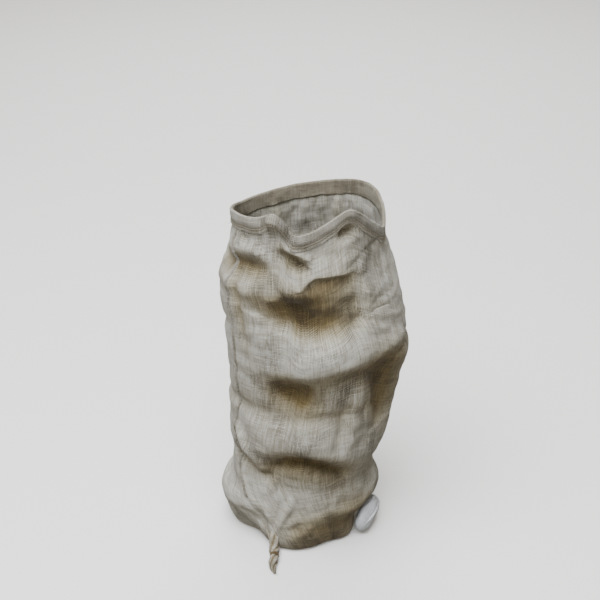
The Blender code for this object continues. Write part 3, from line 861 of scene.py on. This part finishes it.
grid = cloth_grid()
corner = grid[WALL_END, HALF] * (1, 1, 0)
grid = curl_grip(grid)
grid = settle(grid)
grid = crumple(grid, grid_normals(grid), WALL_ROWS - 2)
grid[..., 2] = np.maximum(grid[..., 2], 0)
normals = grid_normals(grid)
# How much painted shade each point gets, carried to the cloth's material
painted_shade = painted_shade_in_folds(grid, normals)
steps = np.linalg.norm(np.diff(grid, axis=0), axis=-1)
runs = np.concatenate([np.zeros((1, COLUMNS)), np.cumsum(steps, axis=0)])
cloth_down = runs[: WALL_END + 1].mean(1)
cloth_down = np.append(cloth_down, cloth_down[-1] + np.arange(1, BASE_ROWS + 1) * BASE_ROW_LENGTH)


def add_panel(name, node, first, last):
    columns = np.arange(first, last + 1)
    place = flat_place(columns * PERIMETER / COLUMNS, cloth_down[:, None], painted_shade[:, columns % COLUMNS])
    panel = sheet_piece(name, grid[:, columns % COLUMNS], place, cloth_material)
    thicken(panel, CLOTH, -1)
    for vertex in panel.data.vertices:
        vertex.co.z = max(vertex.co.z, 0)
    stand_for(panel, node)


# --- Reading the wall ---


def sample(values, row, column):
    """Values of the grid at fractional rows and columns. Columns go round."""
    row, column = np.broadcast_arrays(np.asarray(row, float), np.asarray(column, float))
    row = np.clip(row, 0, values.shape[0] - 1.001)
    r, c = np.floor(row).astype(int), np.floor(column).astype(int)
    fr, fc = (row - r)[..., None], (column - c)[..., None]
    c0, c1 = c % COLUMNS, (c + 1) % COLUMNS
    top = values[r, c0] * (1 - fc) + values[r, c1] * fc
    low = values[r + 1, c0] * (1 - fc) + values[r + 1, c1] * fc
    return top * (1 - fr) + low * fr


def row_at(depth, column):
    """The row this far down the cloth from the rim."""
    near = np.round(column).astype(int) % COLUMNS
    rows = np.arange(len(runs))
    return np.array([np.interp(d, runs[:, c], rows) for d, c in zip(depth, near)])


def frame_at(row, column):
    """Point, outward normal and directions along the rows and down the columns."""
    point = sample(grid, row, column)
    normal = unit(sample(normals, row, column))
    across = unit(sample(grid, row, column + 0.5) - sample(grid, row, column - 0.5))
    return point, normal, across, unit(np.cross(across, normal))


def read_at(at, places, values):
    """Vectors along a line, read between its places."""
    return np.stack([np.interp(at, places, values[:, k]) for k in range(3)], axis=-1)


def bow(middle, ends):
    """How far one stitch's points stand out, with its ends sunk."""
    return STITCH_RADIUS * (middle - ends * np.abs(np.linspace(-1, 1, STITCH_POINTS)) ** 3)[:, None]


# --- Mouth hem ---


def hem_edge(column):
    """How deep the turned band is here: pinched narrow at the right grip, and cut a little unevenly."""
    rim_point = sample(grid, 0, column)
    angle = np.degrees(np.arctan2(rim_point[..., 1] - MOUTH_CENTRE[1], rim_point[..., 0] - MOUTH_CENTRE[0]))
    narrow = 0.005 * hump(off_angle(angle, 303) / 9.0)
    ripple = 0.0008 * np.sin(np.radians(angle * 13)) + 0.0005 * np.sin(np.radians(angle * 31 + 40))
    return HEM_DEPTH - narrow + ripple


def add_hem(name, node, first, last):
    """The turned edge: a soft band of doubled cloth, down the inside, over the rim and down the outside."""
    columns = np.linspace(first, last, (last - first) * 3 + 1)
    edges = hem_edge(columns)
    inner, outer = -CLOTH * 1.5 - HEM_GAP, CLOTH / 2 + HEM_GAP
    middle, radius = (outer + inner) / 2, (outer - inner) / 2
    path = [(share, inner, 0.0) for share in np.linspace(1, 0, 12)[:-1]]
    for turn in np.linspace(0, math.pi, 13):
        path.append((0.0, middle - radius * math.cos(turn), radius * 1.5 * math.sin(turn)))
    path += [(share, outer, 0.0) for share in np.linspace(0, 1, 44)[1:]]
    points, cloth, travel = [], [], 0.37
    for share, offset, rise in path:
        point, normal, _, down = frame_at(row_at(share * edges, columns), columns)
        groove = 0.0
        if offset > middle:
            groove = sum(hump((share - d / HEM_DEPTH) / 0.040) for d in HEM_STITCH_DEPTHS.values())
            offset = offset + HEM_SWELL * hump((share - 0.28) / 0.26) - HEM_GROOVE * groove
        points.append(point + normal * offset - down * rise)
        travel += np.linalg.norm(points[-1] - points[-2], axis=-1).mean() if len(points) > 1 else 0.0
        # Painted shade: darker in the stitch grooves and on the inner leaf, inside the mouth
        dim = 0.55 * groove + 0.3 * (offset < middle)
        cloth.append(flat_place(columns * PERIMETER / COLUMNS, travel, dim))
    band = sheet_piece(name, points, cloth, hem_material)
    thicken(band, CLOTH, 0)
    stand_for(band, node, "mouth")


def add_hem_stitches(name, node, first, last, depth):
    """One row of separate running stitches, sunk a little into the band."""
    columns = np.linspace(first + 0.5, last - 0.5, 1200)
    point, normal, _, _ = frame_at(row_at(depth / HEM_DEPTH * hem_edge(columns), columns), columns)
    line = point + normal * (CLOTH + HEM_GAP - 0.0003)
    travel = np.append(0, np.cumsum(np.linalg.norm(np.diff(line, axis=0), axis=-1)))
    parts, start = [], 0.001
    while start + STITCH_LENGTH < travel[-1]:
        length = STITCH_LENGTH * (1 + 0.12 * math.sin(len(parts) * 2.4))
        at = np.linspace(start, start + length, STITCH_POINTS)
        out = unit(read_at(at, travel, normal))
        parts.append(tube(read_at(at, travel, line) + out * bow(1.0, 2.4), out, STITCH_RADIUS, 0.8))
        start += length + STITCH_GAP
    stand_for(parts_piece(name, parts, thread_material), node, "mouth")


# --- Side seams ---


def seam_line(column, first_depth, last_depth):
    depths = np.linspace(first_depth, last_depth, SEAM_ROWS)
    columns = np.full(SEAM_ROWS, float(column))
    return depths, frame_at(row_at(depths, columns), columns)


def add_side_seam(name, node, column, last_depth):
    """The turned edges of both panels, standing up along the side as a soft puckered ridge."""
    depths, (point, normal, across, _) = seam_line(column, HEM_DEPTH + 0.002, last_depth)
    wave = depths * 2 * math.pi
    pucker = 1 + 0.13 * np.sin(wave / 0.0085) + 0.10 * np.sin(wave / 0.031)
    sway = 0.0006 * np.sin(wave / 0.047)
    ends = eased(np.minimum(depths - depths[0], depths[-1] - depths) / 0.006) * 0.85 + 0.15
    points, cloth = [], []
    for i, (aside, high) in enumerate(SEAM_OUTLINE):
        wide = SEAM_HALF_WIDTH * aside * (0.7 + 0.3 * pucker) + sway
        rise = SEAM_PROUD * high * (pucker * ends if high > 0 else np.ones(SEAM_ROWS))
        points.append(point + across * wide[:, None] + normal * rise[:, None])
        cloth.append(flat_place(0.9 + i * 0.0013, depths, 0.0))
    ridge = sheet_piece(name, points[::-1], cloth[::-1], hem_material)
    soft = ridge.modifiers.new("soft", "SUBSURF")
    soft.levels = soft.render_levels = 1
    thicken(ridge, 0.0008, -1)
    stand_for(ridge, node)


def add_side_stitches(name, node, column, last_depth, towards_front):
    """Slanting overhand stitches that hold the ridge down, on its front side."""
    depths, (point, normal, across, _) = seam_line(column, HEM_DEPTH + 0.008, last_depth - 0.012)
    slant = SEAM_THREAD_OFFSET + np.linspace(0.0008, -0.0012, STITCH_POINTS)[:, None]
    parts, at = [], depths[0]
    while at < depths[-1] - 0.006:
        places = np.linspace(at, at + 0.0052 + 0.0008 * math.sin(len(parts) * 1.9), STITCH_POINTS)
        out, side = unit(read_at(places, depths, normal)), unit(read_at(places, depths, across))
        line = read_at(places, depths, point) + side * slant * towards_front + out * bow(1.3, 2.6)
        parts.append(tube(line, out, STITCH_RADIUS, 0.85))
        at += SEAM_STITCH_PITCH
    stand_for(parts_piece(name, parts, seam_thread_material), node)


# --- Bottom seam ---


def add_bottom_seam():
    start, end = grid[-1, HALF], grid[-1, 0]
    along = unit(end - start)
    start, end = start + along * BOTTOM_SEAM_ENDS, end - along * BOTTOM_SEAM_ENDS
    aside = np.array((-along[1], along[0], 0.0))
    steps = np.linspace(0, 1, 90)
    points, cloth = [], []
    for i, (wide, high) in enumerate(BOTTOM_SEAM_OUTLINE):
        sway = 0.0004 * np.sin(steps * 31) + 0.0003 * np.sin(steps * 77 + i)
        off = wide * BOTTOM_SEAM_HALF_WIDTH + sway
        line = start + (end - start) * steps[:, None] + aside * off[:, None]
        line[:, 2] = 0.0019 + high * (BOTTOM_SEAM_HEIGHT + 0.0004 * np.sin(steps * 47))
        points.append(line)
        # Inside the base, 0.3 of painted shade all over the seam
        cloth.append(flat_place(0.6 + i * 0.0016, steps * 0.12, 0.3))
    seam = sheet_piece("turned_bottom_seam", points, cloth, hem_material)
    thicken(seam, 0.0007, 1)
    stand_for(seam, "bottom_seam", "sack_body")
    parts = []
    for number in range(int(np.linalg.norm(end - start) / BOTTOM_STITCH_PITCH) - 1):
        at = 0.005 + number * BOTTOM_STITCH_PITCH + np.linspace(0, 0.0050, STITCH_POINTS)
        line = start + along * at[:, None] + aside * 0.0026
        line[:, 2] = BOTTOM_STITCH_HEIGHT
        line = line + aside * bow(1.0, 2.2)
        parts.append(tube(line, np.tile(aside, (STITCH_POINTS, 1)), STITCH_RADIUS, 0.85))
    stitches = parts_piece("bottom_stitches", parts, thread_material)
    stand_for(stitches, "bottom_seam_thread", "sack_body")


# --- Corner ears ---


def ear_line(share):
    """Centre, half width and half height of the left ear at these shares of its length."""
    along = heading(EAR_ANGLE)
    aside = heading(EAR_ANGLE + 90)
    rows = np.array(EAR_SECTIONS)
    half = centred_through(rows[:, 0], rows[:, 1:], share)
    back = np.maximum(-share, 0)
    hang = EAR_ROOT_HEIGHT * np.maximum(1 - np.maximum(share, 0) / EAR_LANDING, 0) ** 2 + back * 0.030
    lie = np.maximum(half[:, 1], EAR_AXIS_HEIGHT * np.minimum(1, 2 * (1 - share)))
    sway = 0.0016 * np.sin(share * math.pi * 1.9) * np.clip(share * 4, 0, 1)
    sway += 0.0150 * np.clip(share - 0.8, 0, 1)
    outward = unit(corner)
    centre = corner + outward * EAR_START + along * (EAR_LENGTH * share)[:, None] + aside * sway[:, None]
    centre[:, 2] = EAR_FLOOR + np.maximum(lie, hang)
    centre -= (outward - along) * (back * EAR_LENGTH * 0.35)[:, None]
    return centre, half[:, 0], half[:, 1], along, aside


def add_left_ear():
    """The gathered corner: cloth twisted to a tail, with its pleats winding round it."""
    rings, sides = 150, 96
    share = np.linspace(-0.26, 1.0, rings)
    centre, half_width, half_height, along, aside = ear_line(share)
    side = np.arange(sides + 1)[:, None]
    angle = 2 * math.pi * (side % sides) / sides
    wind = EAR_PLEATS * (angle - EAR_TWIST * 2 * math.pi * share) + 0.8 * np.sin(share * 9 + 1)
    valley = (0.5 + 0.5 * np.cos(wind)) ** 2
    pleat = 1 - 0.19 * valley - 0.08 * (0.5 + 0.5 * np.sin(1.5 * wind + 1.3))
    lump = 1 + 0.06 * np.sin(3 * angle + share * 17) + 0.05 * np.sin(2 * angle - share * 29 + 1)
    grow = pleat * lump * 1.03
    points = centre + aside * (np.cos(angle) * half_width * grow)[..., None]
    points = points + UP * (np.sin(angle) * half_height * grow)[..., None]
    # The pleat valleys get painted shade
    cloth = flat_place(side / sides * 0.055 + share * 0.03, share * EAR_LENGTH + 0.75, 0.75 * valley)
    tail = closed_piece("twisted_left_ear", points, cloth, ear_material)
    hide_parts("left_corner_ear")
    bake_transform(tail)


def add_binding():
    """Thread wound round the ear's waist, with both ends left loose."""
    step = np.arange(int(BINDING_TURNS * BINDING_STEPS) + 1)[:, None]
    centre, half_width, half_height, along, aside = ear_line(np.array([BINDING_PLACE]))
    turn = 2 * math.pi * step / BINDING_STEPS
    travel = BINDING_PITCH * (step / BINDING_STEPS - BINDING_TURNS / 2) + 0.0004 * np.sin(turn * 1.3)
    out = aside * np.cos(turn) + UP * np.sin(turn)
    line = centre + along * travel + aside * (half_width + BINDING_LIFT) * np.cos(turn)
    line = line + UP * (half_height + BINDING_LIFT) * np.sin(turn)
    line[:, 2] = np.maximum(line[:, 2], 0.0009)
    parts = [tube(line, out, 0.00075, 0.9, 8, ends=False)]
    knot = centre[0] + UP * (half_height[0] + 0.0016) + aside * 0.002
    t = np.linspace(0, 1, 14)[:, None]
    for lean in (-1, 1):
        fall = aside * lean * (0.002 + 0.006 * t) + along * 0.009 * t * (1 + 0.4 * lean)
        curl = UP * (0.0010 * np.sin(t * 3.0) - 0.0030 * t**2)
        parts.append(tube(knot + fall + curl, np.tile(UP, (14, 1)), 0.0006, 0.9))
    t = np.linspace(0, 2 * math.pi, 20)[:, None]
    loop = knot + aside * 0.0016 * np.cos(t) + along * 0.0013 * np.sin(t) + UP * 0.0003
    parts.append(tube(loop, np.tile(UP, (20, 1)), 0.0008, 1.0, 8, ends=False))
    wound = parts_piece("ear_thread_winding", parts, dark_thread_material)
    stand_for(wound, "left_ear_binding", "left_ear")


def add_right_ear():
    """The stuffed corner tucked under the belly: a plump lobe with soft dents and a puckered sewn edge."""
    rings, sides = 96, 128
    half_out, half_along, half_high = RIGHT_EAR_HALF
    outward = heading(RIGHT_EAR_ANGLE)
    along = heading(RIGHT_EAR_ANGLE + 90)
    centre = outward * RIGHT_EAR_RADIUS + UP * (half_high + EAR_FLOOR)
    side = np.arange(sides + 1)[:, None]
    angle = 2 * math.pi * (side % sides) / sides
    polar = np.linspace(0.02, math.pi - 0.02, rings)
    off = np.abs(angle - RIGHT_EAR_SEAM)
    off = np.minimum(off, 2 * math.pi - off)
    proud = 0.0009 * np.sin(3 * angle + polar * 4) + 0.0004 * np.sin(7 * angle - polar * 9)
    proud = proud + 0.0024 * hump(off / 0.06) - 0.0012 * hump((off - 0.13) / 0.09)
    proud = (proud + 0.0006 * np.sin(polar * 44) * hump(off / 0.45)) * np.sin(polar)
    fill = np.sin(polar) ** 0.66
    points = centre + outward * ((half_out * fill + proud) * np.cos(angle))[..., None]
    points = points + UP * ((half_high * fill + proud) * np.sin(angle))[..., None]
    points = points + along * (half_along * np.cos(polar))[:, None]
    cloth = flat_place(side / sides * 0.12, polar * 0.03, 0.0)
    # Its pale colour is partly painted light
    lobe = closed_piece("stuffed_right_corner", points, cloth, pale_and_lit_material)
    stand_for(lobe, "right_corner_ear", "sack_body")


# --- Stray fibres ---


def fibres(name, places, outs, body, count, length, seed):
    """Loose jute hairs that stand off an edge."""
    random = np.random.default_rng(seed)
    t = np.linspace(0, 1, 7)[:, None]
    parts = []
    for _ in range(count):
        i = random.integers(len(places))
        lean = unit(outs[i] + random.normal(0, 0.7, 3))
        curl = random.normal(0, 0.35, 3)
        line = places[i] + (lean * t + curl * t**2 * 0.6) * length * random.uniform(0.35, 1.0)
        line[:, 2] = np.maximum(line[:, 2], 0.0005)
        parts.append(tube(line, np.tile(outs[i], (7, 1)) + 0.01, 0.00014, 1.0, 3))
    hairs = parts_piece(name, parts, fibre_material)
    if body:
        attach(hairs, body)
    else:
        stretch_with_wall(hairs)


def add_fibres():
    columns = np.linspace(0, COLUMNS, 700)
    point, normal, _, down = frame_at(row_at(hem_edge(columns), columns), columns)
    hem_low = point + normal * (CLOTH + HEM_GAP)
    fibres("hem_fibres", hem_low, unit(down + normal * 0.7), "mouth", 150, 0.007, 3)
    top, out, _, down = frame_at(np.zeros(700), columns)
    fibres("rim_fibres", top, unit(out * 0.5 - down), "mouth", 110, 0.006, 4)
    for side, column in (("left", HALF), ("right", 0)):
        _, (seam, out, _, _) = seam_line(column, HEM_DEPTH + 0.01, 0.60)
        fibres(f"{side}_seam_fibres", seam + out * SEAM_PROUD * 0.8, unit(out), None, 90, 0.006, 5 + column)
    centre, _, high, along, _ = ear_line(np.linspace(0.80, 1.0, 30))
    outs = np.tile(along + UP * 0.5, (30, 1))
    fibres("ear_fibres", centre + UP * high[:, None] * 0.6, outs, "left_ear", 40, 0.010, 9)


add_panel("burlap_front", "front_panel", HALF, COLUMNS)
add_panel("burlap_back", "back_panel", 0, HALF)
add_hem("turned_front_hem", "front_mouth_hem", HALF, COLUMNS)
add_hem("turned_back_hem", "back_mouth_hem", 0, HALF)
for row_name, stitch_depth in HEM_STITCH_DEPTHS.items():
    for half, first in (("front", HALF), ("back", 0)):
        row = f"{half}_hem_{row_name}"
        add_hem_stitches(f"{row}_stitches", f"{row}_thread", first, first + HALF, stitch_depth)
for side, column, seam_end, towards_front in (("left", HALF, 0.605, 1), ("right", 0, 0.585, -1)):
    add_side_seam(f"{side}_seam_ridge", f"{side}_side_seam", column, seam_end)
    add_side_stitches(f"{side}_seam_stitches", f"{side}_side_seam_thread", column, seam_end, towards_front)
add_bottom_seam()
add_left_ear()
add_binding()
add_right_ear()
add_fibres()


# --- Stage ---


def add_stage():
    mesh = bpy.data.meshes.new("floor")
    mesh.from_pydata([(-6, -6, 0), (6, -6, 0), (6, 6, 0), (-6, 6, 0)], [], [(0, 1, 2, 3)])
    paint = Nodes("floor_paint")
    paint.inputs["Base Color"].default_value = (0.93, 0.93, 0.925, 1)
    paint.inputs["Roughness"].default_value = 0.9
    floor = new_piece("floor", mesh, paint.material)
    floor.location.z = -0.0005
    floor.visible_diffuse = False


def add_light(name, place, aim, size, power, colour):
    data = bpy.data.lights.new(name, "AREA")
    data.shape = "DISK"
    data.size = size
    data.energy = power
    data.color = colour
    lamp = in_scene(name, data)
    lamp.location = place
    lamp.rotation_euler = (Vector(aim) - Vector(place)).to_track_quat("-Z", "Y").to_euler()


def add_world():
    world = bpy.data.worlds.new("studio")
    world.use_nodes = True
    background = world.node_tree.nodes["Background"]
    background.inputs["Color"].default_value = (1.0, 0.90, 0.74, 1)
    background.inputs["Strength"].default_value = 0.24
    bpy.context.scene.world = world


def add_camera():
    data = bpy.data.cameras.new("camera")
    data.lens = CAMERA_LENS
    camera = in_scene("camera", data)
    camera.location = CAMERA_PLACE
    camera.rotation_euler = (math.radians(90 - CAMERA_DOWN), 0, 0)
    bpy.context.scene.camera = camera


add_stage()
add_light("overhead", (-0.55, -0.95, 3.1), (0, 0, 0.3), 2.8, 212, (0.97, 0.985, 1.0))
add_light("front_fill", (-0.2, -3.3, 1.3), (0, 0, 0.22), 2.4, 34, (0.98, 0.99, 1.0))
add_light("backdrop", (0.0, 3.2, 3.4), (0, 2.6, 0), 3.5, 165, (1.0, 1.0, 1.0))
add_world()
add_camera()
